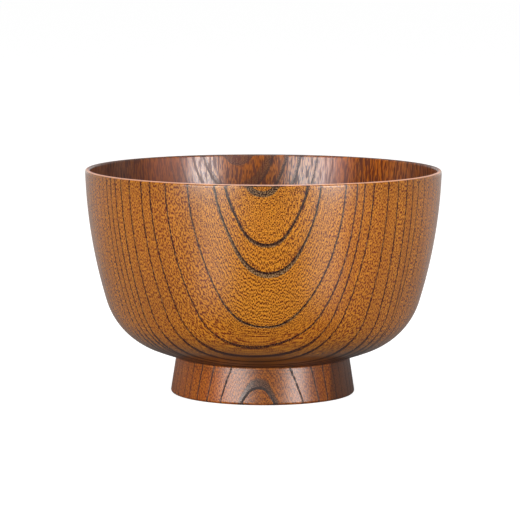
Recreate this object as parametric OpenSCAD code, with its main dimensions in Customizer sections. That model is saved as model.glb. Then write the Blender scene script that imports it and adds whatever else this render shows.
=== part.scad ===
// Turned wooden soup bowl, body and foot cut from one blank
// The origin is the centre of the foot's base, and +Z is up
// A lean is the angle in degrees by which a surface leans from upright

/* [Rim] */
// Outside diameter of the rim
rim_d = 120; // [112:1:128]
// Height of the bowl from table to rim
bowl_h = 75.7; // [70:0.1:82]
// Thickness of the fully rounded lip
lip_t = 1.6; // [1.2:0.1:2.4]

/* [Outside] */
// Lean of the side at the lip
side_lean = 1.9; // [0.5:0.1:3]
// Radius of the long curve down the side
side_r = 170; // [150:1:200]
// Radius of the haunch, where the side turns under
haunch_r = 25; // [21:0.5:29]
// Radius of the shallow curve between haunch and foot
underside_r = 71; // [60:1:85]
// Lean of the underside at the neck
neck_lean = 75.8; // [73:0.1:79]

/* [Inside] */
// How much more the inner side leans at the lip than the outer side
lip_taper = 1.1; // [0.5:0.1:1.5]
// How much thicker the wall is halfway down the side than at the lip
wall_gain = 0.6; // [0.3:0.1:1.4]
// Radius where the inner side turns into the floor
inner_haunch_r = 24.5; // [21:0.5:28]
// Radius of the dished floor
inner_floor_r = 110; // [95:1:130]
// Thickness of the floor at its centre, down to the recess
floor_t = 6.2; // [4.5:0.1:8]

/* [Foot] */
// Diameter of the neck, where the foot meets the underside
neck_d = 58.6; // [55:0.2:62]
// Height of the neck above the table
foot_h = 12.6; // [11:0.1:14.5]
// Diameter of the flared foot at the table, before its edge is rounded
foot_d = 62.4; // [60:0.2:66]
// Radius of the hollow corner at the neck
cove_r = 0.8; // [0.4:0.1:1.6]

/* [Foot ring] */
// Width of the ring at the table, before its edges are rounded
ring_w = 5; // [3.6:0.1:7]
// Radius of the ring's two edges
ring_edge_r = 0.8; // [0.4:0.1:1.4]
// Depth of the recess inside the ring
recess_depth = 8; // [6:0.1:9.5]
// Lean of the recess wall
recess_lean = 7; // [0:0.5:12]
// Radius of the corner between recess wall and ceiling
recess_corner_r = 3; // [1:0.1:4]

/* [Hidden] */
$fn = 240;
// Largest gap between a round and the short chords that follow it
arc_sag = 0.01;

// Direction square to a leaning surface, away from the axis and down
function outward(lean) = [cos(lean), -sin(lean)];

function unit(v) = v / norm(v);

// Direction to the right of the way from p to q
function right_of(p, q) = let (way = unit(q - p)) [way[1], -way[0]];

// Lower place where a circle of radius ra about a crosses one of radius rb about b
function lower_crossing(a, ra, b, rb) = let (
    gap = norm(b - a),
    along = (gap * gap + ra * ra - rb * rb) / (2 * gap),
    aside = sqrt(ra * ra - along * along)
) a + along * unit(b - a) + aside * right_of(a, b);

// Centre of a round that touches both edges leaving a corner along unit directions a and b
function corner_centre(corner, a, b, r) = corner + unit(a + b) * r / sin(acos(a * b) / 2);

// Place nearest to a point on the edge that leaves a corner along a unit direction
function nearest_on(corner, way, point) = corner + way * ((point - corner) * way);

// Lip, a half round between the two sides
lip_r = lip_t / 2;
lip_c = [rim_d / 2 - lip_r, bowl_h - lip_r];
side_start = lip_c + lip_r * outward(side_lean);
inner_start = lip_c - lip_r * outward(side_lean + lip_taper);

// Outside: side, haunch and underside, each running smoothly into the next
neck = [neck_d / 2, foot_h];
side_c = side_start - side_r * outward(side_lean);
underside_c = neck - underside_r * outward(neck_lean);
haunch_c = lower_crossing(side_c, side_r - haunch_r, underside_c, underside_r - haunch_r);
side_end = side_c + side_r * unit(haunch_c - side_c);
haunch_end = underside_c + underside_r * unit(haunch_c - underside_c);

// Inside: the inner side passes halfway down at the wall's thickness there
floor_middle = [0, recess_depth + floor_t];
halfway_out = unit((side_start + side_end) / 2 - side_c);
inner_halfway = side_c + (side_r - lip_t - wall_gain) * halfway_out;
inner_way = inner_halfway - inner_start;
inner_side_r = inner_way * inner_way / (-2 * inner_way * outward(side_lean + lip_taper));
inner_side_c = inner_start - inner_side_r * outward(side_lean + lip_taper);
inner_floor_c = floor_middle + [0, inner_floor_r];
inner_haunch_c = lower_crossing(
    inner_side_c, inner_side_r - inner_haunch_r,
    inner_floor_c, inner_floor_r - inner_haunch_r
);
inner_side_end = inner_side_c + inner_side_r * unit(inner_haunch_c - inner_side_c);
inner_haunch_end = inner_floor_c + inner_floor_r * unit(inner_haunch_c - inner_floor_c);

// Foot's flared side, and the cove that touches it and the underside
foot_edge = [foot_d / 2, 0];
foot_up = unit(neck - foot_edge);
foot_out = right_of(foot_edge, neck);
cove_line = neck + cove_r * foot_out;
underside_up = (underside_c - cove_line) * foot_up;
underside_aside = (underside_c - cove_line) * foot_out;
cove_c = cove_line + foot_up * (
    underside_up - sqrt(pow(underside_r + cove_r, 2) - pow(underside_aside, 2))
);
cove_low = cove_c - cove_r * foot_out;
cove_high = underside_c + underside_r * unit(cove_c - underside_c);

// Rounded edges of the ring at the table
ring_edge = foot_edge - [ring_w, 0];
recess_up = [-sin(recess_lean), cos(recess_lean)];
outer_edge_c = corner_centre(foot_edge, foot_up, [-1, 0], ring_edge_r);
inner_edge_c = corner_centre(ring_edge, recess_up, [1, 0], ring_edge_r);
outer_edge_high = nearest_on(foot_edge, foot_up, outer_edge_c);
inner_edge_high = nearest_on(ring_edge, recess_up, inner_edge_c);

// Corner of the recess
recess_corner = ring_edge + recess_up * recess_depth / recess_up[1];
recess_c = corner_centre(recess_corner, -recess_up, [-1, 0], recess_corner_r);
recess_wall_end = nearest_on(recess_corner, recess_up, recess_c);

// Points along a round from p towards q, which the next stretch of the outline starts from
function arc(centre, p, q) = let (
    from = p - centre,
    to = q - centre,
    r = norm(from),
    start = atan2(from[1], from[0]),
    turn = atan2(cross(from, to), from * to),
    steps = ceil(abs(turn) / (2 * acos(1 - arc_sag / r)))
) [for (i = [0:steps - 1]) centre + r * [cos(start + turn * i / steps), sin(start + turn * i / steps)]];

// Half section of the wall: under the foot, up the outside, over the lip and down the inside
section = [
    [0, recess_depth],
    each arc(recess_c, [recess_c[0], recess_depth], recess_wall_end),
    recess_wall_end,
    each arc(inner_edge_c, inner_edge_high, [inner_edge_c[0], 0]),
    [inner_edge_c[0], 0],
    each arc(outer_edge_c, [outer_edge_c[0], 0], outer_edge_high),
    outer_edge_high,
    each arc(cove_c, cove_low, cove_high),
    each arc(underside_c, cove_high, haunch_end),
    each arc(haunch_c, haunch_end, side_end),
    each arc(side_c, side_end, side_start),
    each arc(lip_c, side_start, inner_start),
    each arc(inner_side_c, inner_start, inner_side_end),
    each arc(inner_haunch_c, inner_side_end, inner_haunch_end),
    each arc(inner_floor_c, inner_haunch_end, floor_middle),
    floor_middle
];

// The whole bowl, turned about its axis
module bowl() {
    color("peru") rotate_extrude() polygon(section);
}

bowl();
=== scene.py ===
"""A turned wooden soup bowl under clear lacquer, in a plain studio.

The bowl's and the camera's sizes are in mm, and the studio's are in metres.
"""

import math
from types import SimpleNamespace

import bpy
import numpy as np
from mathutils import Matrix, Vector


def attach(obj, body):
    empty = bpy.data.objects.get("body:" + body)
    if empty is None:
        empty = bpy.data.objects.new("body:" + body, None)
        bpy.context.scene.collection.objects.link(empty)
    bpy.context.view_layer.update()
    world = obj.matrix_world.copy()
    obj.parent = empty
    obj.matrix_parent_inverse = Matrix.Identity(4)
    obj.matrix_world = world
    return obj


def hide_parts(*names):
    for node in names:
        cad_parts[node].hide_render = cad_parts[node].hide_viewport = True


MM = 0.001

# Sizes of the bowl in mm, the same as the solid's
RIM_D = 120.0
BOWL_H = 75.7
LIP_T = 1.6
SIDE_LEAN = 1.9
SIDE_R = 170.0
HAUNCH_R = 25.0
UNDERSIDE_R = 71.0
NECK_LEAN = 75.8
LIP_TAPER = 1.1
WALL_GAIN = 0.6
INNER_HAUNCH_R = 24.5
INNER_FLOOR_R = 110.0
FLOOR_T = 6.2
NECK_D = 58.6
FOOT_H = 12.6
FOOT_D = 62.4
COVE_R = 0.8
RING_W = 5.0
RING_EDGE_R = 0.8
RECESS_DEPTH = 8.0
RECESS_LEAN = 7.0
RECESS_CORNER_R = 3.0

# Mesh of the bowl
SEGMENTS = 352
CELL_MM = 0.92
FLOOR_CELL_MM = 1.4
ARC_TURN = math.radians(9)
# The foot is widest somewhere under this height
FOOT_EDGE_TOP_MM = 1.0

# UV map: the gap between its strips, and how much shorter the hidden rows are drawn there
STRIP_GAP = 0.008
HIDDEN_SHRINK = 0.55
# Distances from the axis up to which rows are hidden, under the foot and on the inner floor
UNDER_FOOT_REACH = FOOT_D / 2 - 1.2
FLOOR_REACH = 0.6 * NECK_D
# Height up to which the rows under the foot are hidden
UNDER_FOOT_TOP = RECESS_DEPTH + 0.1

# How bright the outside is drawn up its height, with painted shade in the crease at the neck and on the
# underside above it, and darker just under the lip
OUTSIDE_TONES_AND_SHADE = [
    (12.0, 1.0), (12.4, 0.35), (13.4, 0.5), (14.5, 0.46), (17.0, 0.46), (20.0, 0.69),
    (25.0, 0.95), (36.0, 0.92), (44.0, 0.97), (67.0, 0.98), (74.5, 0.84),
]
# The same from left to right on the side
SIDE_TONES = [(-60, 1.0), (-44, 1.06), (-36, 0.99), (-26, 0.91), (-16, 0.97), (0, 1.0)]
# The same once more where the haunch turns under, fading in between two heights: painted light and shade,
# mostly lighter on the left of the underside
HAUNCH_LIGHT_AND_SHADE = [
    (-44, 1.15), (-32, 1.25), (-20, 1.18), (-8, 1.0), (8, 1.0), (20, 0.95), (32, 0.95), (44, 1.1),
]
HAUNCH_FADE_MM = (34.0, 22.0)
# The same from left to right on the foot
FOOT_TONES = [
    (-31, 0.9), (-27, 1.1), (-15, 1.3), (-8, 0.95), (-4, 0.75), (2, 0.75), (8, 0.8),
    (12, 0.95), (16, 0.8), (22.2, 0.75), (22.8, 0.35), (31, 0.25),
]
# How bright the inner wall is drawn from left to right, with painted shade towards both ends and painted
# light in between
INSIDE_TONES_AND_SHADE = [
    (-60, 0.35), (-45, 0.5), (-38, 0.9), (-30, 0.95), (-22, 0.95), (-12, 1.15), (-3, 1.1), (6, 1.05),
    (13, 1.0), (22, 1.15), (28, 1.35), (34, 1.35), (40, 1.65), (44, 1.4), (50, 1.15), (60, 0.5),
]
# How much painted sheen, a pale veil of reflected light, the inner wall has from left to right
INSIDE_SHEENS = [
    (-50, 0.0), (-42, 0.2), (-36, 0.35), (-26, 0.3), (-18, 0.1), (-8, 0.08),
    (4, 0.0), (18, 0.0), (22, 0.3), (27, 0.3), (33, 0.0),
]
# How much of the ring lines shows inside, from left to right
INSIDE_LINES = [(-42, 0.1), (-32, 0.8)]
# How much of the outside's lacquer the inside has
INSIDE_POLISH = 0.85
# How bright the lip is, darker on the far side as painted shade and lighter on the near side as a painted
# highlight, and how much painted sheen it has, each on the far side and on the near side
LIP_SHADE_AND_HIGHLIGHT = (0.35, 1.2)
LIP_SHEENS = (0.0, 0.75)
# Places between which the lip changes from far to near
LIP_BLEND_MM = (10.0, -10.0)
# Heights between which the underside runs into the foot's darker stain and painted shade
NECK_STAIN_AND_SHADE_MM = (19.0, 13.4)
# Heights of two faint lines that the turning tool left on the foot
TURNING_LINES_MM = (11.5, 10.4)
# How far the surface faces up, from where the top of the lip starts to where it is full
LIP_FACING = (0.6, 0.9)
# How far it faces up or down, the same for a level surface and for a wall that may carry painted sheen
LEVEL_FACING = (0.75, 0.95)
SHEEN_FACING = (0.6, 0.3)
# How far it faces down, the same for a surface that hangs over
UNDER_FACING = (0.5, 0.8)

# The tree's growth rings. Each is an upright sheet, so it is one curve on the plan, y over x in mm.
# The near rings are placed where they cross the outside: x from the middle, and height.
NEAR_RINGS = [
    [(-3.4, 74.9), (-1.8, 74.0), (-0.3, 73.7), (1.3, 74.0), (2.8, 74.9)],
    [
        (-11.7, 74.9), (-9.0, 66.9), (-5.6, 60.4), (-1.6, 57.3),
        (2.6, 56.9), (6.6, 59.4), (10.8, 66.4), (13.7, 74.9),
    ],
    [
        (-15.2, 74.9), (-11.6, 62.3), (-7.0, 53.0), (-2.0, 48.3),
        (4.0, 47.8), (8.5, 50.5), (13.2, 57.8), (17.9, 74.9),
    ],
    [
        (-24.1, 74.9), (-19.7, 53.4), (-12.5, 37.0), (-4.5, 30.3),
        (4.0, 29.8), (12.0, 35.0), (20.0, 48.0), (26.2, 74.9),
    ],
    [
        (-31.4, 74.9), (-27.1, 49.0), (-20.0, 31.5), (-10.0, 23.3),
        (0.0, 22.4), (11.0, 26.2), (20.1, 35.9), (29.9, 74.9),
    ],
    [
        (-36.6, 74.9), (-31.7, 45.5), (-24.0, 27.0), (-12.0, 19.4),
        (-2.6, 18.6), (10.8, 21.0), (21.9, 30.9), (32.4, 74.9),
    ],
    [
        (-39.4, 74.9), (-35.0, 44.4), (-27.0, 24.8), (-14.0, 17.3),
        (-3.0, 16.1), (10.0, 17.8), (24.0, 28.3), (35.4, 74.9),
    ],
    [
        (-43.4, 74.9), (-39.9, 46.2), (-34.9, 29.1), (-24.0, 18.0),
        (-4.0, 14.4), (18.0, 16.3), (31.5, 26.9), (40.3, 74.9),
    ],
    [
        (-46.2, 74.9), (-42.7, 46.1), (-35.8, 24.6), (-6.4, 1.0), (-4.4, 3.9),
        (-1.4, 5.3), (1.6, 3.9), (3.4, 1.0), (34.6, 24.3), (43.6, 74.9),
    ],
    [(-48.2, 74.9), (-12.2, 6.0), (11.2, 6.0), (40.9, 32.0), (46.6, 74.9)],
    [(-49.8, 74.9), (-17.2, 6.0), (17.2, 6.0), (43.5, 33.6), (48.7, 74.9)],
    [(-51.2, 74.9), (-20.8, 6.0), (20.6, 6.0), (50.6, 74.9)],
]
# The far rings: place on the line x = FAR_X, and slope there
FAR_X = -9.0
FAR_RINGS = [
    (46.4, 0.13), (49.4, 0.13), (52.0, 0.135), (53.9, 0.15), (55.4, 0.15), (56.4, 0.158), (57.5, 0.155),
]
# Between them the rings follow on at this step in the middle, with their bow fading out
MIDDLE_STEP = 3.45
NEAR_BOW = 0.0046
FAR_BOW = 0.0009
# How uneven their steps are, and the turn from one to the next of the wave that makes them so
MIDDLE_UNEVEN = 0.28
UNEVEN_TURN = 2.4
# Rings outside the wood that close the first gap and the last
GUARD_NEAR_MM = -63.0
GUARD_FAR_MM = 62.0
# Gap that a ring keeps to the next one once it has left the wood
RING_CLEARANCE_MM = 0.4
# Thickness of the band of open pores after each near ring and far ring, in mm
NEAR_PORES = [0.045, 0.09, 0.23, 0.15, 0.12, 0.10, 0.10, 0.12, 0.26, 0.12, 0.10, 0.10]
FAR_PORES = [0.12, 0.12, 0.14, 0.24, 0.14, 0.30, 0.16]
MIDDLE_PORES = 0.11
# How dark the lines are: near, in the middle and far
LINE_STRENGTHS = (1.0, 0.45, 0.85)
# Least slant of the surface to the rings
LEAST_SLANT = 0.02

# Camera, as the photograph was taken
VIEW_ELEVATION = math.radians(6.64)
VIEW_DISTANCE_MM = 1052.5
VIEW_TARGET_MM = (-1.05, 0.0, 44.74)
VIEW_ROLL = math.radians(0.2)
FOCAL_PX = 3114.7
IMAGE_PX = 520
SENSOR_MM = 36.0

# Softboxes: name, azimuth in degrees, distance, width, height, height of the middle, radiance
SOFTBOXES = [
    ("softbox_left", -34, 0.90, 0.52, 0.26, 0.14, 16.5),
    ("softbox_right", 43, 0.90, 0.31, 0.26, 0.14, 25.0),
    ("high_left", -30, 0.80, 0.50, 0.40, 0.70, 2.3),
    ("high_right", 30, 0.80, 0.50, 0.40, 0.70, 1.6),
    ("high_back", 180, 0.45, 0.60, 0.40, 0.90, 2.0),
]
# Half of the floor's width
FLOOR_HALF = 4.0
# Directions of the two pools of light on the floor, in degrees from the camera's side
SHEEN_TURNS = (-28, 36)


# Small sums


def share_between(values, low, high):
    """How far values have come on the way from low to high, from 0 to 1."""
    return np.clip((values - low) / (high - low), 0, 1)


def blend(start, end, share):
    return start + (end - start) * share


def table_at(table, places):
    """Values of a table of (place, value) at places, straight between its rows."""
    return np.interp(places, [row[0] for row in table], [row[1] for row in table])


# Flat geometry of the half section, as (distance from the axis, height)


def outward(lean):
    """Direction square to a surface that leans by an angle in degrees, away from the axis and down."""
    return np.array([math.cos(math.radians(lean)), -math.sin(math.radians(lean))])


def unit(v):
    return v / np.linalg.norm(v)


def right_of(p, q):
    """Direction to the right of the way from p to q."""
    way = unit(q - p)
    return np.array([way[1], -way[0]])


def lower_crossing(a, ra, b, rb):
    """Lower place where a circle of radius ra about a crosses one of radius rb about b."""
    gap = np.linalg.norm(b - a)
    along = (gap**2 + ra**2 - rb**2) / (2 * gap)
    return a + along * unit(b - a) + math.sqrt(ra**2 - along**2) * right_of(a, b)


def corner_centre(corner, a, b, r):
    """Centre of a round of radius r in the corner that two edges leave along unit directions a and b."""
    return corner + unit(a + b) * r / math.sin(math.acos(a @ b) / 2)


def nearest_on(corner, way, point):
    """Place nearest to a point on the edge that leaves a corner along a unit direction."""
    return corner + way * ((point - corner) @ way)


def arc(centre, p, q, cell=CELL_MM):
    """Places and outward directions along a round from p towards q, without q."""
    start = p - centre
    end = q - centre
    r = np.linalg.norm(start)
    first = math.atan2(start[1], start[0])
    turn = math.atan2(start[0] * end[1] - start[1] * end[0], start @ end)
    steps = math.ceil(max(abs(turn) * r / cell, abs(turn) / ARC_TURN))
    angles = first + turn * np.arange(steps) / steps
    spokes = np.column_stack([np.cos(angles), np.sin(angles)])
    return np.column_stack([centre + r * spokes, spokes * math.copysign(1, turn)])


def straight(p, q, cell=CELL_MM):
    """Places and outward directions along a straight stretch from p towards q, without q."""
    steps = math.ceil(np.linalg.norm(q - p) / cell)
    shares = np.arange(steps)[:, None] / steps
    side = np.tile(right_of(p, q), (steps, 1))
    return np.column_stack([p + (q - p) * shares, side])


def half_section():
    """The outline from under the foot, up the outside, over the lip and down to the floor's middle.

    Each row is a place and the direction square to the surface there. The second value counts the
    rows before the top of the lip.
    """
    lip_r = LIP_T / 2
    lip_c = np.array([RIM_D / 2 - lip_r, BOWL_H - lip_r])
    lip_top = lip_c + [0, lip_r]
    side_start = lip_c + lip_r * outward(SIDE_LEAN)
    inner_start = lip_c - lip_r * outward(SIDE_LEAN + LIP_TAPER)

    neck = np.array([NECK_D / 2, FOOT_H])
    side_c = side_start - SIDE_R * outward(SIDE_LEAN)
    underside_c = neck - UNDERSIDE_R * outward(NECK_LEAN)
    haunch_c = lower_crossing(side_c, SIDE_R - HAUNCH_R, underside_c, UNDERSIDE_R - HAUNCH_R)
    side_end = side_c + SIDE_R * unit(haunch_c - side_c)
    haunch_end = underside_c + UNDERSIDE_R * unit(haunch_c - underside_c)

    floor_middle = np.array([0, RECESS_DEPTH + FLOOR_T])
    halfway_out = unit((side_start + side_end) / 2 - side_c)
    inner_halfway = side_c + (SIDE_R - LIP_T - WALL_GAIN) * halfway_out
    inner_way = inner_halfway - inner_start
    inner_out = outward(SIDE_LEAN + LIP_TAPER)
    inner_side_r = inner_way @ inner_way / (-2 * inner_way @ inner_out)
    inner_side_c = inner_start - inner_side_r * inner_out
    inner_floor_c = floor_middle + [0, INNER_FLOOR_R]
    inner_haunch_c = lower_crossing(
        inner_side_c, inner_side_r - INNER_HAUNCH_R, inner_floor_c, INNER_FLOOR_R - INNER_HAUNCH_R
    )
    inner_side_end = inner_side_c + inner_side_r * unit(inner_haunch_c - inner_side_c)
    inner_haunch_end = inner_floor_c + INNER_FLOOR_R * unit(inner_haunch_c - inner_floor_c)

    foot_edge = np.array([FOOT_D / 2, 0])
    foot_up = unit(neck - foot_edge)
    foot_out = right_of(foot_edge, neck)
    cove_line = neck + COVE_R * foot_out
    up = (underside_c - cove_line) @ foot_up
    aside = (underside_c - cove_line) @ foot_out
    cove_c = cove_line + foot_up * (up - math.sqrt((UNDERSIDE_R + COVE_R) ** 2 - aside**2))
    cove_low = cove_c - COVE_R * foot_out
    cove_high = underside_c + UNDERSIDE_R * unit(cove_c - underside_c)

    ring_edge = foot_edge - [RING_W, 0]
    lean = math.radians(RECESS_LEAN)
    recess_up = np.array([-math.sin(lean), math.cos(lean)])
    inwards = np.array([-1.0, 0.0])
    outer_edge_c = corner_centre(foot_edge, foot_up, inwards, RING_EDGE_R)
    inner_edge_c = corner_centre(ring_edge, recess_up, -inwards, RING_EDGE_R)
    outer_edge_high = nearest_on(foot_edge, foot_up, outer_edge_c)
    inner_edge_high = nearest_on(ring_edge, recess_up, inner_edge_c)
    outer_edge_low = np.array([outer_edge_c[0], 0])
    inner_edge_low = np.array([inner_edge_c[0], 0])
    recess_corner = ring_edge + recess_up * RECESS_DEPTH / recess_up[1]
    recess_c = corner_centre(recess_corner, -recess_up, inwards, RECESS_CORNER_R)
    recess_wall_end = nearest_on(recess_corner, recess_up, recess_c)
    recess_middle = np.array([0, RECESS_DEPTH])
    recess_round = np.array([recess_c[0], RECESS_DEPTH])

    before_lip = np.vstack([
        straight(recess_middle, recess_round, FLOOR_CELL_MM),
        arc(recess_c, recess_round, recess_wall_end),
        straight(recess_wall_end, inner_edge_high),
        arc(inner_edge_c, inner_edge_high, inner_edge_low),
        straight(inner_edge_low, outer_edge_low),
        arc(outer_edge_c, outer_edge_low, outer_edge_high),
        straight(outer_edge_high, cove_low),
        arc(cove_c, cove_low, cove_high),
        arc(underside_c, cove_high, haunch_end),
        arc(haunch_c, haunch_end, side_end),
        arc(side_c, side_end, side_start),
        arc(lip_c, side_start, lip_top),
    ])
    after_lip = np.vstack([
        arc(lip_c, lip_top, inner_start),
        arc(inner_side_c, inner_start, inner_side_end),
        arc(inner_haunch_c, inner_side_end, inner_haunch_end),
        arc(inner_floor_c, inner_haunch_end, floor_middle, FLOOR_CELL_MM),
        np.array([[floor_middle[0], floor_middle[1], 0.0, 1.0]]),
    ])
    return np.vstack([before_lip, after_lip]), len(before_lip)


# Growth rings


class Curve:
    """A natural cubic through places in order of x, which runs straight on past its ends."""

    def __init__(self, x, y):
        self.x = np.array(x, float)
        self.y = np.array(y, float)
        n = len(self.x)
        gaps = np.diff(self.x)
        rise = np.diff(self.y) / gaps
        rows = np.eye(n)
        bends = np.zeros(n)
        for i in range(1, n - 1):
            rows[i, i - 1] = gaps[i - 1]
            rows[i, i] = 2 * (gaps[i - 1] + gaps[i])
            rows[i, i + 1] = gaps[i]
            bends[i] = 6 * (rise[i] - rise[i - 1])
        self.bend = np.linalg.solve(rows, bends)
        self.gaps = gaps
        self.rise = rise

    def at(self, x):
        """Height and slope at each x."""
        inside = np.clip(x, self.x[0], self.x[-1])
        i = np.clip(np.searchsorted(self.x, inside) - 1, 0, len(self.gaps) - 1)
        gap = self.gaps[i]
        past = inside - self.x[i]
        start_slope = self.rise[i] - gap * (2 * self.bend[i] + self.bend[i + 1]) / 6
        twist = (self.bend[i + 1] - self.bend[i]) / gap
        y = self.y[i] + past * (start_slope + past * (self.bend[i] / 2 + past * twist / 6))
        slope = start_slope + past * (self.bend[i] + past * twist / 2)
        return y + slope * (x - inside), slope


class Bow:
    """A shallow parabola, used in the same way as a Curve."""

    def __init__(self, middle_x, middle_y, slope, bow):
        self.values = (middle_x, middle_y, slope, bow)

    def at(self, x):
        """Height and slope at each x."""
        middle_x, middle_y, slope, bow = self.values
        past = x - middle_x
        return middle_y + past * (slope - bow * past), slope - 2 * bow * past


def middle_of(ring):
    """Height of a ring at x = 0."""
    return ring.at(np.array([0.0]))[0][0]


def outside_radius(section, lip_row, z):
    """Distance of the outer surface from the axis at a height."""
    before_lip = section[:lip_row]
    foot_row = np.argmax(np.where(before_lip[:, 1] < FOOT_EDGE_TOP_MM, before_lip[:, 0], 0.0))
    outer = before_lip[foot_row:]
    return np.interp(z, outer[:, 1], outer[:, 0])


def growth_rings(section, lip_row):
    """The rings from the near side to the far side, their pore bands in mm and how dark their lines are."""
    rings = []
    for places in NEAR_RINGS:
        x, z = np.array(places).T
        r = outside_radius(section, lip_row, z)
        rings.append(Curve(x, -np.sqrt(r**2 - x**2)))
    first_far, far_slope = FAR_RINGS[0]
    last_near = middle_of(rings[-1])
    far_middle = first_far - far_slope * FAR_X
    count = round((far_middle - last_near) / MIDDLE_STEP)
    for i in range(1, count):
        share = i / count
        middle = blend(last_near, far_middle, share)
        middle += MIDDLE_UNEVEN * MIDDLE_STEP * math.sin(UNEVEN_TURN * i) * math.sin(math.pi * share)
        rings.append(Bow(0.0, middle, far_slope * share, blend(NEAR_BOW, FAR_BOW, share)))
    for middle, slope in FAR_RINGS:
        rings.append(Bow(FAR_X, middle, slope, FAR_BOW))
    guard_before = Bow(0.0, GUARD_NEAR_MM, 0.0, NEAR_BOW)
    guard_after = Bow(FAR_X, GUARD_FAR_MM, FAR_RINGS[-1][1], FAR_BOW)
    rings = [guard_before] + rings + [guard_after]
    pores = [MIDDLE_PORES] + NEAR_PORES + [MIDDLE_PORES] * (count - 1) + FAR_PORES + [MIDDLE_PORES]
    near, middle, far = LINE_STRENGTHS
    strengths = [near] * (1 + len(NEAR_RINGS)) + [middle] * (count - 1) + [far] * (len(FAR_RINGS) + 1)
    return rings, np.array(pores), np.array(strengths)


def grain_at(points, normals, rings, pores, strengths):
    """What the wood is like at points in mm, as values by name."""
    x, y = points[:, 0], points[:, 1]
    curves = [ring.at(x) for ring in rings]
    heights = np.array([height for height, slope in curves])
    slopes = np.array([slope for height, slope in curves])
    # A ring that has left the wood stays clear of the next one
    for i in range(len(rings) - 2, -1, -1):
        heights[i] = np.minimum(heights[i], heights[i + 1] - RING_CLEARANCE_MM)
    last = len(rings) - 2
    below = np.clip((heights < y).sum(0) - 1, 0, last)
    column = np.arange(len(x))
    gaps = np.diff(heights, axis=0)
    gap = gaps[below, column]
    before = gaps[np.maximum(below - 1, 0), column]
    after = gaps[np.minimum(below + 1, last), column]
    share = (y - heights[below, column]) / gap
    # The ring's number is a cubic in each gap, which meets its neighbours at one rate
    start_rate = 2 * gap / (before + gap)
    end_rate = 2 * gap / (gap + after)
    eased = share**2 * (3 - 2 * share)
    number = eased + start_rate * share * (1 - share) ** 2 - end_rate * share**2 * (1 - share)
    rate = 6 * share * (1 - share)
    rate += start_rate * (1 - share) * (1 - 3 * share) - end_rate * share * (2 - 3 * share)
    slope = blend(slopes[below, column], slopes[below + 1, column], share)
    lean = 1 / np.sqrt(1 + slope**2)
    middles = np.array([middle_of(ring) for ring in rings])
    facing = (normals[:, 1] - slope * normals[:, 0]) * lean
    return {
        "ring": below + number,
        "spacing": gap / rate * lean,
        "depth": blend(middles[below], middles[below + 1], number),
        "pores": pores[below],
        "line_strength": strengths[below],
        "slant": np.sqrt(np.clip(1 - facing**2, LEAST_SLANT**2, 1)),
    }


# The bowl's mesh


def unwrap(mesh, section, lip_row):
    """Four strips one above the other: outside and inside, each halved at the left and right."""
    stretches = np.linalg.norm(np.diff(section[:, :2], axis=0), axis=1)
    row = np.arange(len(stretches))
    radius, height = section[:-1, 0], section[:-1, 1]
    under_foot = (row < lip_row) & (height < UNDER_FOOT_TOP) & (radius < UNDER_FOOT_REACH)
    inner_floor = (row >= lip_row) & (radius < FLOOR_REACH)
    stretches *= np.where(under_foot | inner_floor, HIDDEN_SHRINK, 1.0)
    along = np.concatenate([[0], np.cumsum(stretches)])
    outside = along[lip_row]
    inside = along[-1] - outside
    unit_height = (1 - 5 * STRIP_GAP) / (2 * (outside + inside))
    starts = np.cumsum([0, outside, outside, inside]) * unit_height + STRIP_GAP * np.arange(1, 5)

    loops = np.empty(len(mesh.loops), np.int64)
    mesh.loops.foreach_get("vertex_index", loops)
    first = np.empty(len(mesh.polygons), np.int64)
    mesh.polygons.foreach_get("loop_start", first)
    sizes = np.empty(len(mesh.polygons), np.int64)
    mesh.polygons.foreach_get("loop_total", sizes)
    face = np.repeat(np.arange(len(sizes)), sizes)
    column = np.repeat(np.arange(SEGMENTS), len(sizes) // SEGMENTS)[face]
    low_pole = (len(section) - 2) * SEGMENTS
    pole = loops >= low_pole
    row = np.where(pole, np.where(loops == low_pole, 0, len(section) - 1), loops // SEGMENTS + 1)
    next_column = (loops % SEGMENTS - column) % SEGMENTS
    place = column + np.where(pole, 0.5, next_column)
    turn = (place - SEGMENTS / 4) / (SEGMENTS / 2)
    back = (column < SEGMENTS // 4) | (column >= 3 * SEGMENTS // 4)
    turn = np.where(back, (turn - 1) % 2, turn)
    inner = np.minimum.reduceat(row, first)[face] >= lip_row
    strip = np.where(inner, 2, 0) + back
    up = (along[row] - np.where(inner, outside, 0)) * unit_height + starts[strip]
    across = STRIP_GAP + turn * (1 - 2 * STRIP_GAP)
    layer = mesh.uv_layers.new(name="OFBake")
    layer.data.foreach_set("uv", np.column_stack([across, up]).ravel().astype(np.float32))


def spun(radii, heights):
    """Points at distances from the axis and heights, turned about the axis row by row."""
    angles = math.pi / 2 + 2 * math.pi * np.arange(SEGMENTS) / SEGMENTS
    around = np.column_stack([np.cos(angles), np.sin(angles)])
    flat = radii[:, None, None] * around
    up = np.broadcast_to(heights[:, None, None], (len(heights), SEGMENTS, 1))
    return np.concatenate([flat, up], axis=2).reshape(-1, 3)


def turned_faces(rows):
    """Faces between the rows, column by column, each with a triangle to the pole at either end."""
    low_pole = rows * SEGMENTS
    high_pole = low_pole + 1
    top = low_pole - SEGMENTS
    faces = []
    for j in range(SEGMENTS):
        k = (j + 1) % SEGMENTS
        faces.append((low_pole, k, j))
        for low in range(0, top, SEGMENTS):
            high = low + SEGMENTS
            faces.append((low + j, low + k, high + k, high + j))
        faces.append((top + j, top + k, high_pole))
    return faces


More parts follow.
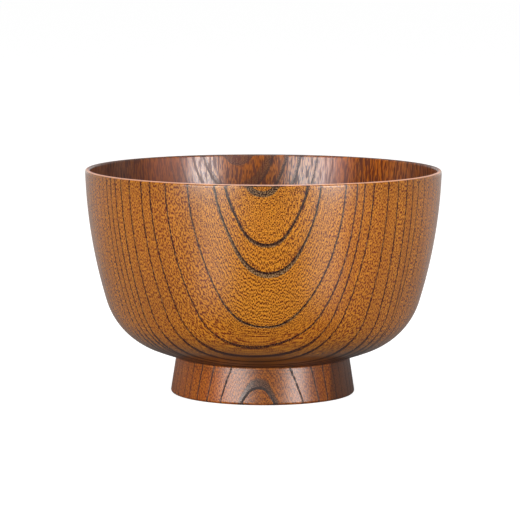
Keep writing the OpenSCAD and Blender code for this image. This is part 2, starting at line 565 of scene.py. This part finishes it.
def keep_wood_values(mesh, corners, normals, section, lip_row):
    """The wood's grain, tones and stains with painted light, shade and sheen, kept at the mesh's corners for
    the material to read.
    """
    last_row = len(section) - 1
    row = np.append(np.repeat(np.arange(1, last_row), SEGMENTS), [0, last_row])
    x, y, z = corners.T
    facing_up = normals[:, 2]
    inside = row >= lip_row
    above_foot = z > FOOT_H
    foot = np.where(inside, 0.0, share_between(z, *NECK_STAIN_AND_SHADE_MM))
    lip = share_between(facing_up, *LIP_FACING) * (z > BOWL_H - LIP_T)

    lines_shown = np.where(inside, table_at(INSIDE_LINES, x), 1.0)
    polish = (1 - foot) * (1 - lip) * np.where(inside, INSIDE_POLISH, 1.0)
    haunch = share_between(z, *HAUNCH_FADE_MM) * above_foot
    # Tone with painted light and shade: up the outside, on the haunch and across the inner wall
    tone = np.where(above_foot, table_at(SIDE_TONES, x), table_at(FOOT_TONES, x))
    tone *= table_at(OUTSIDE_TONES_AND_SHADE, z) * blend(1.0, table_at(HAUNCH_LIGHT_AND_SHADE, x), haunch)
    tone = np.where(inside, table_at(INSIDE_TONES_AND_SHADE, x), tone)
    # Painted sheen: a pale veil on the inner wall, faded where it faces up or down
    pale = np.where(inside, table_at(INSIDE_SHEENS, x), 0.0)
    pale *= share_between(np.abs(facing_up), *SHEEN_FACING)
    # The last two corners are the poles, which keep plain values
    lines_shown[-2:] = 1.0
    tone[-2:] = 1.0
    polish[-1] = 1.0

    values = grain_at(corners, normals, *growth_rings(section, lip_row))
    values["line_strength"] *= lines_shown
    values["inside"] = inside.astype(float)
    values["polish"] = polish
    # The inside's stain, and painted shade on the foot and the underside above the neck
    values["stain"] = np.maximum(inside, foot)
    values["level"] = share_between(np.abs(facing_up), *LEVEL_FACING)
    values["under"] = share_between(-facing_up, *UNDER_FACING) * above_foot
    # On the lip: painted shade on the far side, painted highlight and sheen on the near side
    near = share_between(y, *LIP_BLEND_MM)
    values["tone"] = blend(tone, blend(*LIP_SHADE_AND_HIGHLIGHT, near), lip)
    values["pale"] = blend(pale, blend(*LIP_SHEENS, near), lip)
    for name, numbers in values.items():
        layer = mesh.attributes.new(name, "FLOAT", "POINT")
        layer.data.foreach_set("value", numbers.astype(np.float32))


def turned_bowl():
    """The bowl as one closed surface turned about its axis, with the wood's values at its corners."""
    section, lip_row = half_section()
    body = section[1:-1]
    poles = [[0, 0, section[0, 1]], [0, 0, section[-1, 1]]]
    corners = np.vstack([spun(body[:, 0], body[:, 1]), poles])
    normals = np.vstack([spun(body[:, 2], body[:, 3]), [[0, 0, -1.0], [0, 0, 1.0]]])
    mesh = bpy.data.meshes.new("turned_bowl")
    mesh.from_pydata((corners * MM).tolist(), [], turned_faces(len(body)))
    mesh.update()
    mesh.shade_smooth()
    unwrap(mesh, section, lip_row)
    mesh.normals_split_custom_set_from_vertices(normals.tolist())
    keep_wood_values(mesh, corners, normals, section, lip_row)
    piece = bpy.data.objects.new("bowl_body", mesh)
    bpy.context.scene.collection.objects.link(piece)
    return piece


# Materials


class Graph:
    """Short calls for the nodes of one material. A value is a socket, a plain number or a colour."""

    def __init__(self, tree):
        self.tree = tree
        tree.nodes.clear()

    def add(self, kind, inputs=None, **settings):
        node = self.tree.nodes.new(kind)
        for name, value in settings.items():
            setattr(node, name, value)
        for name, value in (inputs or {}).items():
            if isinstance(value, bpy.types.NodeSocket):
                self.tree.links.new(value, node.inputs[name])
            else:
                node.inputs[name].default_value = value
        return node

    def math(self, operation, a, b=0.0):
        return self.add("ShaderNodeMath", {0: a, 1: b}, operation=operation).outputs[0]

    def plus(self, a, b):
        return self.math("ADD", a, b)

    def minus(self, a, b):
        return self.math("SUBTRACT", a, b)

    def times(self, a, b):
        return self.math("MULTIPLY", a, b)

    def over(self, a, b):
        return self.math("DIVIDE", a, b)

    def higher(self, a, b):
        return self.math("MAXIMUM", a, b)

    def size_of(self, a):
        return self.math("ABSOLUTE", a)

    def ramp(self, value, low, high, start=0.0, end=1.0, smooth=True):
        """Start below low and end above high, with a smooth or straight way between."""
        inputs = {"Value": value, "From Min": low, "From Max": high, "To Min": start, "To Max": end}
        way = "SMOOTHSTEP" if smooth else "LINEAR"
        return self.add("ShaderNodeMapRange", inputs, interpolation_type=way).outputs["Result"]

    def value(self, name):
        """A value kept at the mesh's corners."""
        return self.add("ShaderNodeAttribute", attribute_name=name, attribute_type="GEOMETRY").outputs["Fac"]

    def vector(self, x, y, z):
        return self.add("ShaderNodeCombineXYZ", {"X": x, "Y": y, "Z": z}).outputs[0]

    def split(self, vector):
        return self.add("ShaderNodeSeparateXYZ", {"Vector": vector}).outputs

    def noise(self, *axes, detail=0.0):
        """Noise over two or three values, each with its rate. Noise over two is the more even."""
        places = [self.times(value, rate) for value, rate in axes]
        vector = self.vector(*places, *[0.0] * (3 - len(places)))
        inputs = {"Vector": vector, "Scale": 1.0, "Detail": detail}
        node = self.add("ShaderNodeTexNoise", inputs, noise_dimensions=f"{len(places)}D")
        return node.outputs["Fac"]

    def mix(self, share, a, b):
        """Colour a where the share is 0, and b where it is 1."""
        return self.add("ShaderNodeMix", {0: share, 6: a, 7: b}, data_type="RGBA").outputs[2]

    def mix_shader(self, share, a, b):
        return self.add("ShaderNodeMixShader", {0: share, 1: a, 2: b}).outputs[0]


def colour(r, g, b):
    return (r, g, b, 1.0)


def grey(level):
    return colour(level, level, level)


# Colours of the wood, in pairs for where the surface lies along the rings and where it cuts them
SMALL_PORES = (colour(0.090, 0.013, 0.0), colour(0.150, 0.023, 0.0))
RING_LINES = (colour(0.022, 0.004, 0.0), colour(0.045, 0.005, 0.0))
# Ground of the wood, in pairs of paler and darker
GROUND_ALONG = (colour(0.562, 0.214, 0.012), colour(0.487, 0.180, 0.008))
GROUND_CUT = (colour(0.570, 0.212, 0.012), colour(0.508, 0.180, 0.008))
# A band of open pores, where the speckle is low and where it is high
OPEN_PORES = (colour(0.210, 0.130, 0.060), colour(0.014, 0.007, 0.004))
# Single colours
FIBRE = colour(0.40, 0.110, 0.008)
STREAK = colour(0.095, 0.018, 0.002)
# Painted sheen: a pale veil standing in for reflected light
PAINTED_SHEEN_COLOUR = colour(0.74, 0.40, 0.27)
# Stain of the inside, and painted shade on the foot and the underside above the neck
STAIN_AND_SHADE = colour(0.67, 0.52, 0.62)
WHITE = grey(1.0)


def new_material(name):
    material = bpy.data.materials.new(name)
    material.use_nodes = True
    return material, Graph(material.node_tree)


def wood_sockets(g):
    """The values kept at the mesh's corners and the place in the wood in mm, by name."""
    names = ["ring", "spacing", "depth", "pores", "line_strength", "slant", "inside"]
    names += ["polish", "stain", "level", "under", "tone", "pale"]
    wood = SimpleNamespace(**{name: g.value(name) for name in names})
    split = g.split(g.add("ShaderNodeTexCoord").outputs["Object"])
    wood.across = g.times(split["X"], 1 / MM)
    wood.height = g.times(split["Z"], 1 / MM)
    # How far the surface turns away from the growth rings, from along them to cutting them
    wood.turned = g.ramp(wood.slant, 0.35, 0.65)
    return wood


def ring_marks(g, wood):
    """Ring lines, bands of open pores, and the speckle of both."""
    # Distance in mm past the line that starts each ring
    waver = g.noise((wood.across, 0.5), (wood.depth, 0.5), (wood.height, 0.2), detail=2.0)
    waver = g.times(g.times(g.minus(waver, 0.5), 0.30), wood.slant)
    past = g.times(g.math("FRACT", g.plus(wood.ring, g.over(waver, wood.spacing))), wood.spacing)

    width = g.plus(g.plus(g.times(wood.slant, 0.50), 0.050), g.times(wood.under, 0.75))
    line = g.ramp(past, g.times(width, 0.9), g.times(width, 1.2), 1.0, 0.0)
    streak = g.noise((wood.across, 1.6), (wood.depth, 1.6), (wood.height, 0.75), detail=1.0)
    faintest = g.plus(g.ramp(wood.slant, 0.1, 0.4, 0.80, 0.35), g.times(wood.under, 0.60))
    line = g.times(line, g.ramp(streak, 0.40, 0.56, g.math("MINIMUM", faintest, 1.0), 1.0))
    line = g.times(line, wood.line_strength)
    speckle = g.ramp(g.noise((wood.across, 2.6), (g.plus(wood.height, wood.depth), 2.4)), 0.38, 0.58)
    broken = g.times(g.minus(1.0, speckle), g.ramp(wood.slant, 0.06, 0.14, 1.0, 0.0))
    line = g.times(line, g.ramp(broken, 0.0, 1.0, 1.0, 0.2))

    flank = g.ramp(g.size_of(wood.across), 5.0, 16.0, 1.35, 0.65)
    width = g.plus(g.times(wood.slant, 0.20), g.times(wood.pores, flank))
    pores = g.ramp(past, g.times(width, 1.1), g.times(width, 1.4), 1.0, 0.0)
    pores = g.times(pores, g.ramp(wood.line_strength, 0.0, 1.0, 0.1, 0.9))
    return line, pores, speckle


def small_pores(g, wood):
    """Small upright pores in wavy rows, which spread into dashes where the surface cuts few rings."""
    rise = g.times(wood.height, g.ramp(wood.inside, 0.0, 1.0, 1.0, 0.3, smooth=False))
    wave = g.minus(g.noise((wood.across, 1.7), (rise, 0.30)), 0.5)
    turns = g.plus(g.over(wood.depth, 0.31), g.times(wave, 1.3))
    rows = g.math("SINE", g.times(turns, 2 * math.pi))
    dots = g.times(g.minus(g.noise((wood.across, 4.3), (rise, 1.8)), 0.5), 6.4)
    spread = g.ramp(wood.slant, 0.08, 0.20)
    row_share = g.times(g.ramp(spread, 0.0, 1.0, 0.25, 0.95), g.ramp(wood.slant, 0.38, 0.52, 1.0, 0.25))
    along = g.plus(g.times(rows, row_share), g.times(dots, g.ramp(spread, 0.0, 1.0, 1.3, 0.80)))

    grains = g.noise((wood.depth, 4.2), (rise, 1.3))
    cross_grains = g.minus(g.noise((wood.across, 4.2), (rise, 1.1)), 0.5)
    grains = g.plus(grains, g.times(cross_grains, g.ramp(wood.slant, 0.70, 0.92, 0.7, 0.0)))
    end_grains = g.noise((wood.across, 3.3), (wood.depth, 3.3))
    grains = g.plus(grains, g.times(g.minus(end_grains, grains), wood.level))
    cut = g.times(g.minus(grains, 0.5), 6.6)

    either = g.plus(g.times(along, g.minus(1.0, wood.turned)), g.times(cut, wood.turned))
    dashes = g.ramp(g.minus(either, g.times(wood.inside, 0.35)), -0.75, 0.85)
    dashes = g.times(dashes, g.ramp(wood.stain, 0.0, 1.0, 1.0, 0.85, smooth=False))
    return g.times(dashes, g.ramp(wood.under, 0.0, 1.0, 1.0, 0.75))


def dark_streaks(g, wood):
    """Upright dark streaks on the inner wall."""
    streaks = g.noise((wood.across, 1.7), (wood.depth, 1.7), (wood.height, 0.14))
    streaks = g.times(g.ramp(streaks, 0.54, 0.63, 0.0, 0.9), wood.inside)
    return g.times(streaks, g.ramp(wood.level, 0.0, 1.0, 1.0, 0.0))


def wood_ground(g, wood):
    """Golden ground of the wood, with slow changes of tone and darker fibres."""
    slow = g.noise((wood.across, 0.035), (wood.depth, 0.16), (wood.height, 0.014), detail=2.0)
    slow = g.ramp(slow, 0.35, 0.65)
    ground = g.mix(wood.turned, g.mix(slow, *GROUND_ALONG), g.mix(slow, *GROUND_CUT))
    fibre = g.noise((wood.across, 1.6), (wood.depth, 1.6), (wood.height, 0.10), detail=3.0)
    fibre_share = g.plus(g.ramp(wood.slant, 0.2, 0.6, 0.10, 0.40), g.times(wood.stain, 0.25))
    return g.mix(g.times(g.ramp(fibre, 0.30, 0.75), fibre_share), ground, FIBRE)


def wood_shade(g, wood):
    """What the wood's colour is multiplied by: its tone with painted light and shade, the turning lines, and
    the stain with painted shade on the foot.
    """
    tone = wood.tone
    for line_height in TURNING_LINES_MM:
        away = g.size_of(g.minus(wood.height, line_height))
        tone = g.times(tone, g.ramp(away, 0.08, 0.22, 0.65, 1.0))
    # Stain inside, and painted shade on the foot and under the neck
    stain = g.mix(wood.stain, WHITE, STAIN_AND_SHADE)
    return g.add("ShaderNodeVectorMath", {0: stain, 3: tone}, operation="SCALE").outputs[0]


def lacquered_wood():
    """Ring-porous wood under clear lacquer: dark ring lines, bands of open pores and rows of small pores."""
    material, g = new_material("lacquered_wood")
    wood = wood_sockets(g)
    line, pores, speckle = ring_marks(g, wood)
    dashes = small_pores(g, wood)
    streaks = dark_streaks(g, wood)

    paint = g.mix(dashes, wood_ground(g, wood), g.mix(wood.turned, *SMALL_PORES))
    paint = g.mix(pores, paint, g.mix(speckle, *OPEN_PORES))
    paint = g.mix(streaks, paint, STREAK)
    paint = g.mix(line, paint, g.mix(wood.turned, *RING_LINES))
    # Painted sheen, a pale veil of reflected light, then the tone and stain with their painted light and
    # shade
    paint = g.mix(wood.pale, paint, PAINTED_SHEEN_COLOUR)
    paint = g.add("ShaderNodeVectorMath", {0: paint, 1: wood_shade(g, wood)}, operation="MULTIPLY")

    marks = g.higher(line, g.times(streaks, 0.6))
    roughness = g.ramp(wood.polish, 0.0, 1.0, 0.37, 0.26, smooth=False)
    filled = g.minus(1.0, g.times(g.higher(marks, pores), 0.8))
    relief = g.plus(g.times(line, -0.6), g.plus(g.times(pores, -0.5), g.times(dashes, -0.15)))
    bump = g.add("ShaderNodeBump", {"Height": relief, "Strength": 0.35, "Distance": 0.05 * MM})
    shader = g.add("ShaderNodeBsdfPrincipled", {
        "Base Color": paint.outputs[0],
        "Roughness": g.plus(roughness, g.times(g.times(marks, wood.stain), 0.30)),
        "Normal": bump.outputs[0],
        "Specular IOR Level": 0.5,
        "Coat Weight": g.times(g.times(wood.polish, 0.52), filled),
        "Coat Roughness": 0.22,
        "Coat IOR": 1.5,
    })
    g.add("ShaderNodeOutputMaterial", {"Surface": shader.outputs[0]})
    return material


def floor_material():
    """Pale floor that reads as white to the camera where no shadow falls."""
    material, g = new_material("pale_floor")
    place = g.add("ShaderNodeNewGeometry").outputs["Position"]
    split = g.split(place)
    aside = g.size_of(split["X"])
    behind = g.ramp(split["Y"], 0.0, 0.25)

    # What lights the bowl from below
    left_share = g.ramp(split["X"], -0.12, -0.03, 1.0, 0.0)
    lit = g.mix(left_share, grey(0.30), grey(0.42))
    lit = g.mix(g.higher(behind, g.ramp(aside, 0.02, 0.10)), grey(0.12), lit)
    paint = g.add("ShaderNodeBsdfDiffuse", {"Color": lit}).outputs[0]

    # What the bowl's gloss mirrors, with two pools of light
    mirrored = g.mix(g.higher(behind, g.ramp(aside, 0.02, 0.12, 0.0, 0.45)), grey(0.16), grey(0.38))
    mirrored = g.mix(g.ramp(split["Y"], 0.4, 1.6), mirrored, WHITE)
    turn = g.math("ARCTAN2", split["X"], g.minus(0.0, split["Y"]))
    off_left, off_right = [g.size_of(g.minus(turn, math.radians(middle))) for middle in SHEEN_TURNS]
    off = g.math("MINIMUM", off_left, off_right)
    reach = g.add("ShaderNodeVectorMath", {0: place}, operation="LENGTH").outputs["Value"]
    sheen = g.times(g.ramp(reach, 0.08, 0.14), g.ramp(reach, 0.27, 0.42, 1.0, 0.3))
    sheen = g.times(sheen, g.ramp(off, math.radians(3), math.radians(17), 1.0, 0.0))
    mirrored = g.mix(sheen, mirrored, grey(1.45))
    mirrored = g.add("ShaderNodeEmission", {"Color": mirrored}).outputs[0]

    # What the camera sees
    dimmed = g.add("ShaderNodeBsdfDiffuse", {"Color": grey(0.36)}).outputs[0]
    glow = g.add("ShaderNodeEmission", {"Color": WHITE, "Strength": 0.91}).outputs[0]
    seen = g.add("ShaderNodeAddShader", {0: dimmed, 1: glow}).outputs[0]

    ray = g.add("ShaderNodeLightPath").outputs
    bounced = g.mix_shader(ray["Is Glossy Ray"], paint, mirrored)
    to_camera = g.higher(ray["Is Camera Ray"], ray["Is Transmission Ray"])
    g.add("ShaderNodeOutputMaterial", {"Surface": g.mix_shader(to_camera, bounced, seen)})
    return material


# Stage


def studio_world():
    """White to the camera. For light and gloss, a white backdrop behind and a dim room in front."""
    world = bpy.data.worlds.new("studio")
    bpy.context.scene.world = world
    world.use_nodes = True
    g = Graph(world.node_tree)
    way = g.split(g.add("ShaderNodeTexCoord").outputs["Generated"])
    room = g.ramp(way["Y"], -0.25, 0.45, 0.02, 0.50)
    backdrop = g.ramp(way["Y"], 0.84, 0.98)
    ray = g.add("ShaderNodeLightPath").outputs
    mirrored = g.times(backdrop, ray["Is Glossy Ray"])
    seen = g.higher(g.higher(ray["Is Camera Ray"], ray["Is Transmission Ray"]), mirrored)
    level = g.plus(room, g.times(g.minus(1.0, room), seen))
    light = {"Color": g.vector(level, level, level), "Strength": 1.0}
    g.add("ShaderNodeOutputWorld", {"Surface": g.add("ShaderNodeBackground", light).outputs[0]})


def softbox(name, azimuth, distance, width, height, middle, level):
    """A softbox whose face gives a radiance of level. Azimuth 0 is the camera's side, + is right."""
    turn = math.radians(azimuth)
    lamp = bpy.data.lights.new(name, "AREA")
    lamp.shape = "RECTANGLE"
    lamp.size = width
    lamp.size_y = height
    lamp.energy = level * math.pi * width * height
    box = bpy.data.objects.new(name, lamp)
    bpy.context.scene.collection.objects.link(box)
    box.location = (distance * math.sin(turn), -distance * math.cos(turn), middle)
    aim = Vector((0, 0, BOWL_H * MM / 2)) - box.location
    box.rotation_euler = aim.to_track_quat("-Z", "Y").to_euler()
    box.visible_camera = False
    return box


def lights():
    for row in SOFTBOXES:
        softbox(*row)
    # This one hangs level
    top = softbox("softbox_top", 0, 0.05, 0.70, 0.70, 1.20, 3.0)
    top.rotation_euler = (0, 0, 0)


def floor():
    mesh = bpy.data.meshes.new("floor")
    low, high = -FLOOR_HALF, FLOOR_HALF
    corners = [(low, low, 0), (high, low, 0), (high, high, 0), (low, high, 0)]
    mesh.from_pydata(corners, [], [(0, 1, 2, 3)])
    plane = bpy.data.objects.new("floor", mesh)
    bpy.context.scene.collection.objects.link(plane)
    plane.data.materials.append(floor_material())


def camera():
    lens = bpy.data.cameras.new("camera")
    lens.sensor_width = SENSOR_MM
    lens.lens = FOCAL_PX / IMAGE_PX * SENSOR_MM
    lens.clip_end = 20.0
    eye = bpy.data.objects.new("camera", lens)
    bpy.context.scene.collection.objects.link(eye)
    target = Vector(VIEW_TARGET_MM) * MM
    back = Vector((0, -math.cos(VIEW_ELEVATION), math.sin(VIEW_ELEVATION)))
    place = Matrix.Translation(target + back * VIEW_DISTANCE_MM * MM)
    tilt = Matrix.Rotation(math.pi / 2 - VIEW_ELEVATION, 4, "X")
    eye.matrix_world = place @ tilt @ Matrix.Rotation(VIEW_ROLL, 4, "Z")
    bpy.context.scene.camera = eye


# The scene

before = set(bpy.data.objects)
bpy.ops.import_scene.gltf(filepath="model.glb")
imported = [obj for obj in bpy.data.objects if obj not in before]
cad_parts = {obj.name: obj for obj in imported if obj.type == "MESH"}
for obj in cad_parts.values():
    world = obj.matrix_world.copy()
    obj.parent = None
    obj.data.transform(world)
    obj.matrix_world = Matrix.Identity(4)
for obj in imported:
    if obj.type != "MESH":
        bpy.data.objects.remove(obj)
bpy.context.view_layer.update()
bpy.context.scene.view_settings.view_transform = "Standard"
camera()
studio_world()
lights()
floor()
bowl = turned_bowl()
bowl.data.materials.append(lacquered_wood())
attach(bowl, "root")
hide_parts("bowl")
